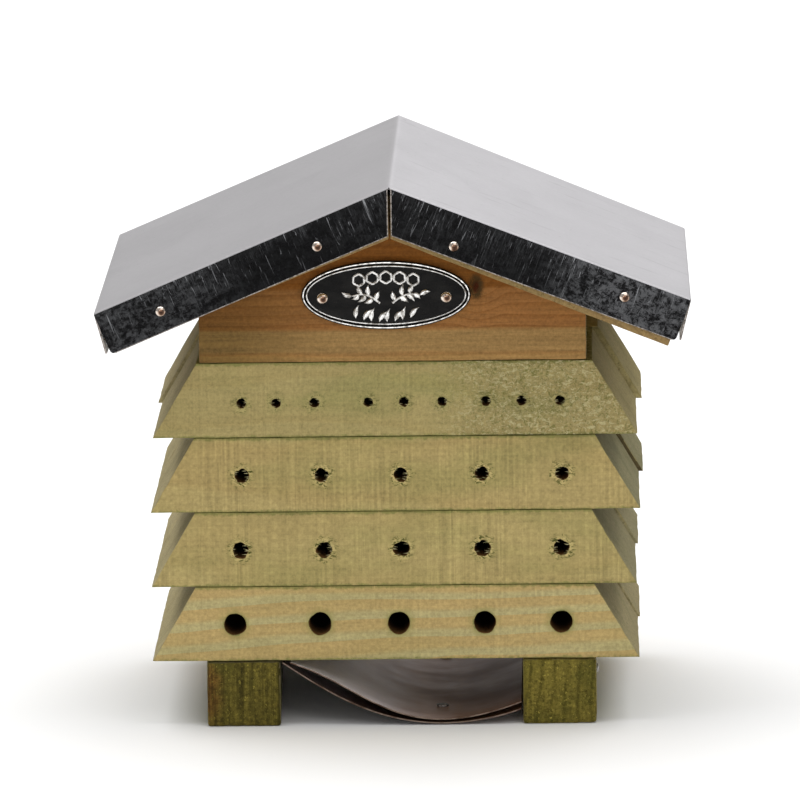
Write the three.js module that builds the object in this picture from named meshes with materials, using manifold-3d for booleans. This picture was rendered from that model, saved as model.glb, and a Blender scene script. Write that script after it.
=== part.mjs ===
// Insect hotel: four drilled timber layers on two runners, a gabled roof space and a folded sheet roof.
// Millimetres, +Z up, front towards -Y. The origin is on the ground, at the middle of the overall box.
import * as THREE from 'three';
import { mergeVertices } from 'three/addons/utils/BufferGeometryUtils.js';
import Module from 'manifold-3d';

const wasm = await Module();
wasm.setup();

// ---- driving dimensions ----
const GAP = 0.3;                        // clearance between neighbouring pieces
const RAD = Math.PI / 180;

const runner = { width: 23.8, height: 21.3, length: 121, offsets: [-49.4, 52.4], toeIn: [1.4, 0] };

const layer = { height: 24.02, bevel: 14.4, depth: 121, frontDepth: 67.6 };

// The layers from the bottom up: width and distance off centre of the front and of the rear board.
// Sawn by hand, they all differ a little.
const layers = [
  { front: [157.2, -0.3], rear: [157.9, 0.05] },
  { front: [156.4, -0.5], rear: [157.4, 0] },
  { front: [157.6, 0.2], rear: [159, 0.9] },
  { front: [155.8, 0.4], rear: [158.9, 0.75] },
];

// Nesting holes from the bottom layer up: diameter, drilled depth, height in the layer and places along it.
const nests = [
  { diameter: 7, depth: 55, height: 12, at: [-51.9, -24.5, 0.8, 28.4, 53.2] },
  { diameter: 4.9, depth: 50, height: 11.9, at: [-49.9, -22.8, 2, 28, 53.4] },
  { diameter: 4.3, depth: 50, height: 11.9, at: [-49, -23.3, 2, 28.1, 53.8] },
  { diameter: 3, depth: 44, height: 11.2, at: [-48.7, -37.6, -25.3, -8, 3.4, 15.6, 29.6, 41.1, 53.4] },
];
const nestSides = 12;

const gable = { width: 124.2, thickness: 24, sideHeight: 17.6 };
const atticRail = { width: 12 };

const roof = {
  slope: 21.95,          // degrees, of the boards
  lean: 0.8,             // degrees, the sheet sits a little crooked on the boards
  sheet: 0.6,            // sheet thickness
  length: 102.4,         // ridge to eave, along the slope
  depth: 166,
  ridgeHeight: 178.65,
  twist: 2.4,            // the right eave is this much lower at the rear than at the front
  board: 13.2,           // board thickness
  ridgeSlack: 1.75,      // sheet to board, at the ridge
  flap: 14.5,            // depth of the front and rear flaps
  flange: 13.6,          // length of the eave flanges
  flare: 8,              // degrees, the flanges splay outwards
  cornerCut: 1,          // open corner between flap and flange
  ridgeCut: 0.5,         // half width of the slot between two flaps
};

const badge = {
  width: 54.2,
  height: 22.2,
  thickness: 1.8,
  rim: 2,
  field: 0.9,            // depth of the recess
  pinReach: 19.8,
  centre: [-1.8, 140.7],
};

const bellySheet = { thickness: 0.4, length: 121, steps: 26 };

// Round fasteners: head radius and height, shank radius and length.
const fastener = {
  roofPin: { head: 1.7, headHeight: 1.0, shank: 0.7, length: 9 },
  badgePin: { head: 1.9, headHeight: 1.0, shank: 0.8, length: 11 },
  sidePin: { head: 1.6, headHeight: 0.7, shank: 0.7, length: 12 },
  runnerScrew: { head: 3.2, headHeight: 1.6, shank: 1.6, length: 58 },
  layerNail: { head: 2.8, headHeight: 1.2, shank: 1.4, length: 60 },
  gableScrew: { head: 2.8, headHeight: 1.4, shank: 1.4, length: 38 },
  railScrew: { head: 2.6, headHeight: 1.4, shank: 1.3, length: 34 },
  boardNail: { head: 2.4, headHeight: 0.9, shank: 1.1, length: 28 },
  rivet: { head: 2, headHeight: 0.5, shank: 1, length: 1.4 },
};
const fastenerSides = 10;

// Where the fasteners sit. Lines are distances in front of and behind the middle, and across is [left, right].
const fixing = {
  proud: 0.1,                           // under a dome head
  sink: 0.1,                            // over a sunk head
  rivet: { line: 40.5, proud: 0.2 },
  runnerScrew: { line: 44, across: [-42, 44.5], sink: 1 },
  layerNail: { line: 30, across: [-44, 47] },
  gableScrew: { line: 48.5, across: [-32.3, 35] },
  roofNail: { line: 48.5, downSlope: 56 },
  railScrew: { depth: 20 },
  badgePin: { shift: [-0.6, -0.9] },    // the pins' middle from the badge's
  sidePin: { inset: 6, height: 17 },
};

// ---- derived levels ----
const layerPitch = layer.height + GAP;
const layerBottom = (index) => runner.height + GAP + index * layerPitch;
const stackTop = layerBottom(layers.length) - GAP;
const front = -layer.depth / 2;
const gableBottom = stackTop + GAP;
const halfGable = gable.width / 2;
const gableApex = gableBottom + gable.sideHeight + halfGable * Math.tan(roof.slope * RAD);

// The crooked sheet reaches further on one side, so the timber stands off the middle of the overall box.
const sheetSlope = { '-1': (roof.slope + roof.lean) * RAD, '1': (roof.slope - roof.lean) * RAD };
const ridgeX = (roof.length * (Math.cos(sheetSlope['-1']) - Math.cos(sheetSlope['1']))) / 2;

// ---- materials ----
function paint(color, roughness, metalness) {
  return new THREE.MeshStandardMaterial({ color, roughness, metalness });
}
const wood = (color) => paint(color, 0.8, 0);
const galvanised = () => paint(0x8f9296, 0.35, 0.9);
const copper = () => paint(0xc08a5c, 0.3, 1);
const steel = () => paint(0x9a9a98, 0.45, 1);

// ---- solids ----
function toManifold(geometry) {
  const bare = geometry.clone();
  bare.deleteAttribute('normal');
  bare.deleteAttribute('uv');
  const merged = mergeVertices(bare, 1e-4);
  const index = merged.index.array;
  const triangles = [];
  for (let i = 0; i < index.length; i += 3) {
    const [a, b, c] = [index[i], index[i + 1], index[i + 2]];
    if (a !== b && b !== c && c !== a) {
      triangles.push(a, b, c);
    }
  }
  return new wasm.Manifold(new wasm.Mesh({
    numProp: 3,
    vertProperties: new Float32Array(merged.attributes.position.array),
    triVerts: new Uint32Array(triangles),
  }));
}

function toGeometry(manifold) {
  const { vertProperties, triVerts } = manifold.getMesh();
  const geometry = new THREE.BufferGeometry();
  geometry.setAttribute('position', new THREE.BufferAttribute(vertProperties, 3));
  geometry.setIndex(new THREE.BufferAttribute(triVerts, 1));
  geometry.computeVertexNormals();
  return geometry;
}

// A prism whose outline lies in X-Z and which runs along Y from yLow to yHigh.
function prism(shape, yLow, yHigh, curveSegments = 12) {
  const settings = { depth: yHigh - yLow, bevelEnabled: false, curveSegments };
  const geometry = new THREE.ExtrudeGeometry(shape, settings);
  return geometry.rotateX(Math.PI / 2).translate(0, yHigh, 0);
}

function outline(points) {
  return new THREE.Shape(points.map(([x, z]) => new THREE.Vector2(x, z)));
}

// A straight rod from one point along a direction.
function rod(radius, start, direction, length, sides = fastenerSides) {
  const geometry = new THREE.CylinderGeometry(radius, radius, length, sides);
  const turn = new THREE.Quaternion().setFromUnitVectors(new THREE.Vector3(0, 1, 0), direction);
  const middle = start.clone().addScaledVector(direction, length / 2);
  return geometry.applyQuaternion(turn).translate(middle.x, middle.y, middle.z);
}

// A headed fastener: the head's underside is at the seat and the shank runs along the direction.
function fastenerGeometry(kind, seat, direction, domed) {
  const { head, headHeight, shank, length } = fastener[kind];
  const tip = shank * 1.6;
  const crown = domed
    ? [[head, 0], [head * 0.87, headHeight * 0.5], [head * 0.5, headHeight * 0.87], [0, headHeight]]
    : [[head, 0], [head, headHeight], [0, headHeight]];
  const profile = [[0, -length], [shank, tip - length], [shank, 0], ...crown];
  const geometry = new THREE.LatheGeometry(profile.map(([r, h]) => new THREE.Vector2(r, h)), fastenerSides);
  const turn = new THREE.Quaternion().setFromUnitVectors(new THREE.Vector3(0, -1, 0), direction);
  return geometry.applyQuaternion(turn).translate(seat.x, seat.y, seat.z);
}

// Everything a fastener needs free around it: its shank, and its head where it is sunk.
function clearance(kind, seat, direction, sunk) {
  const { head, headHeight, shank, length } = fastener[kind];
  const hole = toManifold(rod(shank + GAP, seat, direction, length + GAP));
  if (!sunk) {
    return hole;
  }
  const start = seat.clone().addScaledVector(direction, -headHeight - 2);
  return hole.add(toManifold(rod(head + GAP, start, direction, headHeight + 2 + GAP)));
}

// ---- pieces ----
const hotel = new THREE.Group();
const pieces = new Map();
const solids = new Map();

function addPiece(name, geometryOrSolid, material) {
  const solid = geometryOrSolid.isBufferGeometry ? toManifold(geometryOrSolid) : geometryOrSolid;
  solids.set(name, solid);
  pieces.set(name, material);
}

// Adds a fastener and bores its clearance through the named pieces.
function fasten(name, kind, seat, direction, through, options = {}) {
  const { sunk = false, domed = false, material = steel() } = options;
  const space = clearance(kind, seat, direction, sunk);
  for (const target of through) {
    solids.set(target, solids.get(target).subtract(space));
  }
  addPiece(name, fastenerGeometry(kind, seat, direction, domed), material);
}

const up = new THREE.Vector3(0, 0, 1);
const down = new THREE.Vector3(0, 0, -1);
const sides = [[-1, 'left'], [1, 'right']];
const ends = [[-1, 'front'], [1, 'rear']];

function addRunners() {
  sides.forEach(([side, word], index) => {
    const blank = new THREE.BoxGeometry(runner.width, runner.length, runner.height);
    blank.rotateZ(runner.toeIn[index] * RAD);
    const frontShift = (runner.length / 2) * Math.sin(runner.toeIn[index] * RAD);
    blank.translate(runner.offsets[index] - frontShift, 0, runner.height / 2);
    const limit = new THREE.BoxGeometry(2 * runner.width, layer.depth, 2 * runner.height);
    limit.translate(runner.offsets[index], 0, runner.height);
    addPiece(`runner_${word}`, toManifold(blank).intersect(toManifold(limit)), wood(0x7d7440));
  });
}

function addLayers() {
  const split = front + layer.frontDepth;
  layers.forEach((boards, index) => {
    const low = layerBottom(index);
    const high = low + layer.height;
    const section = ([width, shift]) => outline([
      [shift - width / 2, low],
      [shift + width / 2, low],
      [shift + width / 2 - layer.bevel, high],
      [shift - width / 2 + layer.bevel, high],
    ]);
    const { diameter, depth, height, at } = nests[index];
    let board = toManifold(prism(section(boards.front), front, split));
    for (const x of at) {
      const mouth = new THREE.Vector3(x, front - 1, low + height);
      const drill = rod(diameter / 2, mouth, new THREE.Vector3(0, 1, 0), depth + 1, nestSides);
      board = board.subtract(toManifold(drill));
    }
    addPiece(`layer_${index + 1}_front_board`, board, wood(0xc2b27c));
    const rear = prism(section(boards.rear), split + GAP, -front);
    addPiece(`layer_${index + 1}_rear_board`, rear, wood(0xb9aa76));
  });
}

function addGables() {
  const shape = outline([
    [-halfGable, gableBottom],
    [halfGable, gableBottom],
    [halfGable, gableBottom + gable.sideHeight],
    [0, gableApex],
    [-halfGable, gableBottom + gable.sideHeight],
  ]);
  addPiece('gable_front', prism(shape, front, front + gable.thickness), wood(0xc49a68));
  addPiece('gable_rear', prism(shape, -front - gable.thickness, -front), wood(0xbd9868));
  const inner = halfGable - atticRail.width;
  const railTop = gableBottom + gable.sideHeight;
  const rise = atticRail.width * Math.tan(roof.slope * RAD);
  for (const [side, word] of sides) {
    const points = [
      [halfGable, gableBottom],
      [halfGable, railTop],
      [inner, railTop + rise],
      [inner, gableBottom],
    ];
    const rail = outline(points.map(([x, z]) => [side * x, z]));
    const reach = -front - gable.thickness - GAP;
    addPiece(`attic_rail_${word}`, prism(rail, -reach, reach), wood(0xb89f6c));
  }
}

// The roof's cross-section directions on one side: down the slope, and square to it, into the house.
function slopeFrame(side, angle) {
  const along = new THREE.Vector2(side * Math.cos(angle), -Math.sin(angle));
  const inward = new THREE.Vector2(-side * Math.sin(angle), -Math.cos(angle));
  return { along, inward };
}

function slopePoint(apex, { along, inward }, distance, depth) {
  return [
    apex[0] + along.x * distance + inward.x * depth,
    apex[1] + along.y * distance + inward.y * depth,
  ];
}

const boardApex = [0, gableApex + (GAP + roof.board) / Math.cos(roof.slope * RAD)];
const ridgeDrop = roof.ridgeHeight - boardApex[1];
const boardLength = roof.length - ridgeDrop * Math.sin(sheetSlope['-1']) - roof.sheet - 2 * GAP;
const boardEnd = roof.depth / 2 - roof.sheet - GAP;

function addRoofBoards() {
  for (const [side, word] of sides) {
    const slope = slopeFrame(side, roof.slope * RAD);
    const plumb = (GAP / 2) / Math.cos(roof.slope * RAD);
    const mitre = roof.board * Math.tan(roof.slope * RAD);
    const shape = outline([
      slopePoint(boardApex, slope, plumb, 0),
      slopePoint(boardApex, slope, boardLength, 0),
      slopePoint(boardApex, slope, boardLength, roof.board),
      slopePoint(boardApex, slope, plumb + mitre, roof.board),
    ]);
    addPiece(`roof_board_${word}`, prism(shape, -boardEnd, boardEnd), wood(0xb8a273));
  }
}

const sheetApex = [0, roof.ridgeHeight];

// How far the sheet has settled at a point: nothing on the left, growing to the right eave's rear corner.
function settling(x, y) {
  const share = Math.max(0, x) / (roof.length * Math.cos(sheetSlope['1']));
  return roof.twist * share * (0.5 + y / roof.depth);
}

// Lets the sheet down by its settling, point by point.
function settle(solid) {
  const geometry = toGeometry(solid);
  const points = geometry.attributes.position;
  for (let i = 0; i < points.count; i += 1) {
    points.setZ(i, points.getZ(i) - settling(points.getX(i), points.getY(i)));
  }
  return toManifold(geometry);
}

function addRoofSheet() {
  const slopes = sides.map(([side]) => slopeFrame(side, sheetSlope[side]));
  const [leftSlope, rightSlope] = slopes;
  const fold = leftSlope.inward.clone().add(rightSlope.inward);
  fold.multiplyScalar(roof.sheet / (1 + leftSlope.inward.dot(rightSlope.inward)));
  const sheetInner = [sheetApex[0] + fold.x, sheetApex[1] + fold.y];
  const skin = outline([
    slopePoint(sheetApex, leftSlope, roof.length, 0),
    slopePoint(sheetApex, leftSlope, roof.length, roof.sheet),
    sheetInner,
    slopePoint(sheetApex, rightSlope, roof.length, roof.sheet),
    slopePoint(sheetApex, rightSlope, roof.length, 0),
    sheetApex,
  ]);
  let sheet = toManifold(prism(skin, -roof.depth / 2, roof.depth / 2));
  sides.forEach(([side], index) => {
    const slope = slopes[index];
    const plumb = Math.tan(sheetSlope[side]);
    const round = 1.5;
    const flap = outline([
      slopePoint(sheetApex, slope, roof.ridgeCut, 0),
      slopePoint(sheetApex, slope, roof.length, 0),
      slopePoint(sheetApex, slope, roof.length, roof.flap - round),
      slopePoint(sheetApex, slope, roof.length - round * 0.3, roof.flap - round * 0.3),
      slopePoint(sheetApex, slope, roof.length - round, roof.flap),
      slopePoint(sheetApex, slope, roof.ridgeCut + roof.flap * plumb, roof.flap),
    ]);
    for (const [end] of ends) {
      const outer = (end * roof.depth) / 2;
      const inner = outer - end * roof.sheet;
      sheet = sheet.add(toManifold(prism(flap, Math.min(outer, inner), Math.max(outer, inner))));
    }
    const splay = roof.flare * RAD;
    const eave = slopePoint(sheetApex, slope, roof.length, 0);
    const hang = slope.inward.clone().rotateAround(new THREE.Vector2(), side * splay);
    const inside = slope.along.clone().rotateAround(new THREE.Vector2(), side * splay).negate();
    const flangePoint = (drop, thickness) => [
      eave[0] + hang.x * drop + inside.x * thickness,
      eave[1] + hang.y * drop + inside.y * thickness,
    ];
    const flange = outline([
      flangePoint(0, 0),
      flangePoint(roof.flange, 0),
      flangePoint(roof.flange, roof.sheet),
      flangePoint(0.05, roof.sheet),
    ]);
    const reach = roof.depth / 2 - roof.cornerCut;
    sheet = sheet.add(toManifold(prism(flange, -reach, reach)));
  });
  addPiece('roof_sheet', settle(sheet), galvanised());
}

// Dome-headed pins hold the flaps to the roof boards: side, distance from the ridge, share of the flap.
const flapPins = [[-1, 82.5, 0.54], [-1, 28.5, 0.58], [1, 25.9, 0.73], [1, 82.3, 0.47]];

function addFlapPins() {
  for (const [end, word] of ends) {
    flapPins.forEach(([side, distance, share], index) => {
      const slope = slopeFrame(side, sheetSlope[side]);
      const [x, z] = slopePoint(sheetApex, slope, distance, roof.flap * share);
      const y = end * (roof.depth / 2 + fixing.proud);
      const seat = new THREE.Vector3(x, y, z - settling(x, y));
      const board = side < 0 ? 'roof_board_left' : 'roof_board_right';
      const options = { domed: true, material: copper() };
      const inward = new THREE.Vector3(0, -end, 0);
      fasten(`flap_pin_${word}_${index + 1}`, 'roofPin', seat, inward, ['roof_sheet', board], options);
    });
  }
}

function oval(width, height) {
  return new THREE.Shape().absellipse(0, 0, width / 2, height / 2, 0, 2 * Math.PI);
}

function addBadge() {
  const [x, z] = badge.centre;
  const back = front - GAP;
  const plate = toManifold(prism(oval(badge.width, badge.height), back - badge.thickness, back, 20));
  const recess = prism(
    oval(badge.width - 2 * badge.rim, badge.height - 2 * badge.rim),
    back - badge.thickness - 1,
    back - badge.field,
    20,
  );
  addPiece('badge', plate.subtract(toManifold(recess)).translate([x, 0, z]), paint(0x55575b, 0.35, 0.9));
  for (const [side, word] of sides) {
    const [shiftX, shiftZ] = fixing.badgePin.shift;
    const pinX = x + shiftX + side * badge.pinReach;
    const seat = new THREE.Vector3(pinX, back - badge.field - fixing.proud, z + shiftZ);
    const inward = new THREE.Vector3(0, 1, 0);
    const options = { domed: true, material: copper() };
    fasten(`badge_pin_${word}`, 'badgePin', seat, inward, ['badge', 'gable_front'], options);
  }
}

// The two bowed sheets sprung between the runners: end points and the two controls of each curve.
const bellyCurves = {
  outer: [[-36.8, 20.9], [-18, 8.1], [3.7, -6.8], [39.9, 4.9]],
  inner: [[-34.3, 20.8], [-9.1, 12.8], [0, -8], [40, 7.4]],
};

function bellyCurve(word) {
  return new THREE.CubicBezierCurve(...bellyCurves[word].map(([x, z]) => new THREE.Vector2(x, z)));
}

function addBellySheets() {
  for (const word of Object.keys(bellyCurves)) {
    const curve = bellyCurve(word);
    const above = [];
    const below = [];
    for (let step = 0; step <= bellySheet.steps; step += 1) {
      const share = step / bellySheet.steps;
      const point = curve.getPoint(share);
      const along = curve.getTangent(share);
      const across = new THREE.Vector2(-along.y, along.x).multiplyScalar(bellySheet.thickness / 2);
      above.push([point.x + across.x, point.y + across.y]);
      below.push([point.x - across.x, point.y - across.y]);
    }
    const shape = outline([...below, ...above.reverse()]);
    const reach = bellySheet.length / 2;
    addPiece(`belly_sheet_${word}`, prism(shape, -reach, reach), galvanised());
  }
}

function addBellyRivets() {
  const samples = bellyCurve('inner').getPoints(200);
  const top = samples.reduce((lowest, point) => (point.y < lowest.y ? point : lowest));
  const seatHeight = top.y + bellySheet.thickness / 2 + fixing.rivet.proud;
  for (const [end, word] of ends) {
    const seat = new THREE.Vector3(top.x, end * fixing.rivet.line, seatHeight);
    fasten(`belly_rivet_${word}`, 'rivet', seat, down, ['belly_sheet_inner', 'belly_sheet_outer']);
  }
}

const topLayer = layers.length;
const underTopLayer = layerBottom(topLayer - 1) + fixing.sink;

function addStackFasteners() {
  const { runnerScrew, layerNail, gableScrew } = fixing;
  sides.forEach(([, word], index) => {
    for (const [end, place] of ends) {
      const board = (number) => `layer_${number}_${place}_board`;
      const screwHeight = runnerScrew.sink + fastener.runnerScrew.headHeight;
      const screwSeat = new THREE.Vector3(runnerScrew.across[index], end * runnerScrew.line, screwHeight);
      const screwed = [`runner_${word}`, board(1), board(2)];
      fasten(`runner_screw_${word}_${place}`, 'runnerScrew', screwSeat, up, screwed, { sunk: true });

      const nailHeight = stackTop - fastener.layerNail.headHeight;
      const nailSeat = new THREE.Vector3(layerNail.across[index], end * layerNail.line, nailHeight);
      const nailed = [board(topLayer), board(topLayer - 1), board(topLayer - 2)];
      fasten(`layer_nail_${word}_${place}`, 'layerNail', nailSeat, down, nailed, { sunk: true });

      const gableHeight = underTopLayer + fastener.gableScrew.headHeight;
      const gableSeat = new THREE.Vector3(gableScrew.across[index], end * gableScrew.line, gableHeight);
      const held = [board(topLayer), `gable_${place}`];
      fasten(`gable_screw_${word}_${place}`, 'gableScrew', gableSeat, up, held, { sunk: true });
    }
  });
}

function addRoofFasteners() {
  const nailDepth = fastener.boardNail.headHeight + fixing.sink;
  const railHeight = underTopLayer + fastener.railScrew.headHeight;
  for (const [side, word] of sides) {
    const slope = slopeFrame(side, roof.slope * RAD);
    const inward = new THREE.Vector3(slope.inward.x, 0, slope.inward.y);
    const [x, z] = slopePoint(boardApex, slope, fixing.roofNail.downSlope, nailDepth);
    for (const [end, place] of ends) {
      const seat = new THREE.Vector3(x, end * fixing.roofNail.line, z);
      const joined = [`roof_board_${word}`, `gable_${place}`];
      fasten(`roof_nail_${word}_${place}`, 'boardNail', seat, inward, joined, { sunk: true });
    }
    const railX = side * (halfGable - atticRail.width / 2);
    const railSeat = new THREE.Vector3(railX, fixing.railScrew.depth, railHeight);
    const rails = [`layer_${topLayer}_rear_board`, `attic_rail_${word}`];
    fasten(`attic_rail_screw_${word}`, 'railScrew', railSeat, up, rails, { sunk: true });
  }
}

function addSidePin() {
  const x = runner.offsets[1] + runner.width / 2 + fixing.proud;
  const seat = new THREE.Vector3(x, front + fixing.sidePin.inset, fixing.sidePin.height);
  const inward = new THREE.Vector3(-1, 0, 0);
  fasten('runner_side_pin', 'sidePin', seat, inward, ['runner_right'], { domed: true });
}

addRunners();
addLayers();
addGables();
addRoofBoards();
addRoofSheet();
addFlapPins();
addBadge();
addBellySheets();
addBellyRivets();
addStackFasteners();
addRoofFasteners();
addSidePin();

for (const [name, solid] of solids) {
  const mesh = new THREE.Mesh(toGeometry(solid), pieces.get(name));
  mesh.name = name;
  hotel.add(mesh);
}
hotel.position.x = ridgeX;

export default hotel;
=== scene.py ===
import random
from math import cos, pi, radians, sin, sqrt, tan

import bmesh
import bpy
from mathutils import Matrix, Quaternion, Vector, noise


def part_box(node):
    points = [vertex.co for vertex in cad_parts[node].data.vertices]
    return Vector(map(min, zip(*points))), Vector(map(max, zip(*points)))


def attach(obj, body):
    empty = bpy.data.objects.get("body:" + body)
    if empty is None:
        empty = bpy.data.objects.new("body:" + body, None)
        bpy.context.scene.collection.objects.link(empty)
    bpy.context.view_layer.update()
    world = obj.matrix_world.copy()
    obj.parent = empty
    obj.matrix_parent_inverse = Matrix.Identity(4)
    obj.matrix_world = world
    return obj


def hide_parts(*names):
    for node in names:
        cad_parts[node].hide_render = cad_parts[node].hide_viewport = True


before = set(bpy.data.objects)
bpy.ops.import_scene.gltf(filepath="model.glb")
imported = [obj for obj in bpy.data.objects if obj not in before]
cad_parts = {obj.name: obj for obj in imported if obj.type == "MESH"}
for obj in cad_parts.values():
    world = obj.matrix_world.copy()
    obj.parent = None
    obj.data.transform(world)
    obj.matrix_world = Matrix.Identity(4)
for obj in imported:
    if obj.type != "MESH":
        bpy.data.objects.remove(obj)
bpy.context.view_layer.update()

MM = 0.001


def box_mm(node):
    low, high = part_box(node)
    return low / MM, high / MM


SIDES = ((-1, "left"), (1, "right"))

# ---- dimensions repeated from the CAD source, in millimetres ----
LAYER_BEVEL = 14.4
NESTS = (
    dict(radius=3.5, torn=0.0, depth=55, height=12, at=(-51.9, -24.5, 0.8, 28.4, 53.2)),
    dict(radius=2.45, torn=0.55, depth=50, height=11.9, at=(-49.9, -22.8, 2, 28, 53.4)),
    dict(radius=2.15, torn=0.6, depth=50, height=11.9, at=(-49, -23.3, 2, 28.1, 53.8)),
    dict(radius=1.5, torn=0.35, depth=44, height=11.2,
         at=(-48.7, -37.6, -25.3, -8, 3.4, 15.6, 29.6, 41.1, 53.4)),
)
RIM_FIBRES = 18                                # round a hole whose rim is fully torn
LINT = 150                                     # fibres that stand up on the top layer's fuzzy side
SEAT = 0.27                                    # boards that rest on each other close most of the CAD's gap
RUNNER_WIDTH = 23.8
SCREW_BORE = ((-1, 3.6, 1), (3, 3.6, 1), (3.4, 2, 1), (30, 2, 1))      # distance, radius, raggedness share
GABLE_SIDE = 17.6
BOARD_SLOPE = radians(21.95)
BOARD_THICK = 13.2
GAP = 0.3
SHEET = dict(
    slopes={-1: radians(22.75), 1: radians(21.15)}, thick=0.6, length=102.4, depth=166,
    flap=14.5, flange=13.6, flare=radians(8), slot=0.5, twist=2.4, fold=0.7, corner=1.5,
)
SLOPE_SHIFT = 57.0                             # keeps the metal's pattern from mirroring at the ridge
RAW_EDGE = 0.3                                 # how far in from its edges the sheet is bright from shearing
BADGE = dict(width=54.2, height=22.2)
BRIGHT_RINGS = (4, 9, 10, 11, 12)              # the rings of the badge's double rim that keep the bright nickel; the flanks and groove between them take the dark field finish as a painted dark reflection
DOME_RISE, FLAT_RISE = 0.59, 0.44              # a pin's crown over its radius
GLINT_SHIFT = (0.3, -0.25)                            # the painted dark reflection on a pin sits a little low and to the right, so its painted highlight is widest upper left
BELLY_THICK = 0.4
BELLY_CURVES = {
    "outer": ((-36.8, 20.9), (-18, 8.1), (3.7, -6.8), (39.9, 4.9)),
    "inner": ((-34.3, 20.8), (-9.1, 12.8), (0, -8), (40, 7.4)),
}

gable_low, gable_high = box_mm("gable_front")
AXIS_X = (gable_low.x + gable_high.x) / 2      # the timber's middle
FRONT = gable_low.y
RIDGE_Z = box_mm("roof_sheet")[1].z


# ---- materials ----
class Look:
    """A procedural material. Its place socket is the position in millimetres."""

    def __init__(self, name):
        self.material = bpy.data.materials.new(name)
        self.material.use_nodes = True
        self.tree = self.material.node_tree
        self.shader = self.tree.nodes["Principled BSDF"]
        place = self.add("ShaderNodeTexCoord").outputs["Object"]
        self.place = self.vector("MULTIPLY", place, (1 / MM,) * 3)
        self.color = None
        self.heights = []

    def put(self, socket, value):
        if isinstance(value, bpy.types.NodeSocket):
            self.tree.links.new(value, socket)
        elif hasattr(value, "__len__") and len(value) == 3 and socket.type == "RGBA":
            socket.default_value = (*value, 1)
        else:
            socket.default_value = value

    def add(self, kind, inputs=None, **settings):
        node = self.tree.nodes.new(kind)
        for key, value in settings.items():
            setattr(node, key, value)
        for key, value in (inputs or {}).items():
            self.put(node.inputs[key], value)
        return node

    def math(self, operation, a, b=0.0, c=0.0):
        return self.add("ShaderNodeMath", {0: a, 1: b, 2: c}, operation=operation).outputs[0]

    def times(self, a, b):
        return self.math("MULTIPLY", a, b)

    def times_plus(self, a, b, c):
        """a * b + c."""
        return self.math("MULTIPLY_ADD", a, b, c)

    def vector(self, operation, a, b=(0, 0, 0), c=(0, 0, 0)):
        return self.add("ShaderNodeVectorMath", {0: a, 1: b, 2: c}, operation=operation).outputs[0]

    def distance(self, a, b):
        return self.add("ShaderNodeVectorMath", {0: a, 1: b}, operation="DISTANCE").outputs["Value"]

    def axis(self, name, place=None):
        return self.add("ShaderNodeSeparateXYZ", {0: place or self.place}).outputs[name]

    def paint(self, share, color, mode="MIX"):
        """Lays a colour over the one painted so far."""
        self.color = self.blend(share, self.color, color, mode)

    def raised(self, height, depth):
        """A bump of this depth in millimetres."""
        self.heights.append((height, depth))

    def shade(self, *parts):
        """Makes the colour lighter or darker by parts, which are (noise from 0 to 1, share) pairs."""
        total = 1.0
        for value, share in parts:
            total = self.times_plus(self.math("SUBTRACT", value, 0.5), share, total)
        node = self.add("ShaderNodeVectorMath", {0: self.color, "Scale": total}, operation="SCALE")
        self.color = node.outputs[0]

    def down_slope(self):
        """Place measured along the roof slope, along the ridge and square to the slope."""
        x = self.math("SUBTRACT", self.axis("X"), AXIS_X)
        across = self.math("ABSOLUTE", x)
        drop = self.math("SUBTRACT", RIDGE_Z, self.axis("Z"))
        level, steep = cos(BOARD_SLOPE), sin(BOARD_SLOPE)
        along = self.times_plus(across, level, self.times(drop, steep))
        square = self.times_plus(across, -steep, self.times(drop, level))
        depth = self.times_plus(self.math("SIGN", x), SLOPE_SHIFT, self.axis("Y"))
        return self.add("ShaderNodeCombineXYZ", {0: along, 1: depth, 2: square}).outputs[0]

    def moved(self, place, scale, shift):
        scale = scale if isinstance(scale, tuple) else (scale,) * 3
        return self.vector("MULTIPLY_ADD", place, scale, (shift, shift * 1.7, shift * 0.6))

    def noise(self, scale, shift, detail=3.0, rough=0.55, bend=0.0, place=None):
        """Noise from 0 to 1 with scale cycles a millimetre along X, Y and Z."""
        moved = self.moved(place or self.place, scale, shift)
        inputs = {"Vector": moved, "Scale": 1.0, "Detail": detail, "Roughness": rough, "Distortion": bend}
        return self.add("ShaderNodeTexNoise", inputs).outputs[0]

    def cells(self, scale, shift):
        """A random colour in each cell."""
        moved = self.moved(self.place, scale, shift)
        return self.add("ShaderNodeTexVoronoi", {"Vector": moved, "Scale": 1.0}).outputs["Color"]

    def soft(self, value, low, high, to_low=0.0, to_high=1.0):
        """A smooth step of value from low to high."""
        inputs = {"Value": value, "From Min": low, "From Max": high, "To Min": to_low, "To Max": to_high}
        return self.add("ShaderNodeMapRange", inputs, interpolation_type="SMOOTHSTEP").outputs[0]

    def blend(self, share, a, b, mode="MIX"):
        inputs = {0: share, 6: a, 7: b}
        return self.add("ShaderNodeMix", inputs, data_type="RGBA", blend_type=mode).outputs[2]

    def ramp(self, value, *stops):
        node = self.add("ShaderNodeValToRGB", {0: value})
        elements = node.color_ramp.elements
        while len(elements) < len(stops):
            elements.new(0.5)
        for element, (place, color) in zip(elements, stops):
            element.position = place
            element.color = (*color, 1)
        return node.outputs[0]

    def nearest(self, points):
        """Distance in the X-Z plane to the nearest of these points."""
        flat = self.vector("MULTIPLY", self.place, (1, 0, 1))
        found, *others = [self.distance(flat, (x, 0, z)) for x, z in points]
        for away in others:
            found = self.math("MINIMUM", found, away)
        return found

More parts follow.
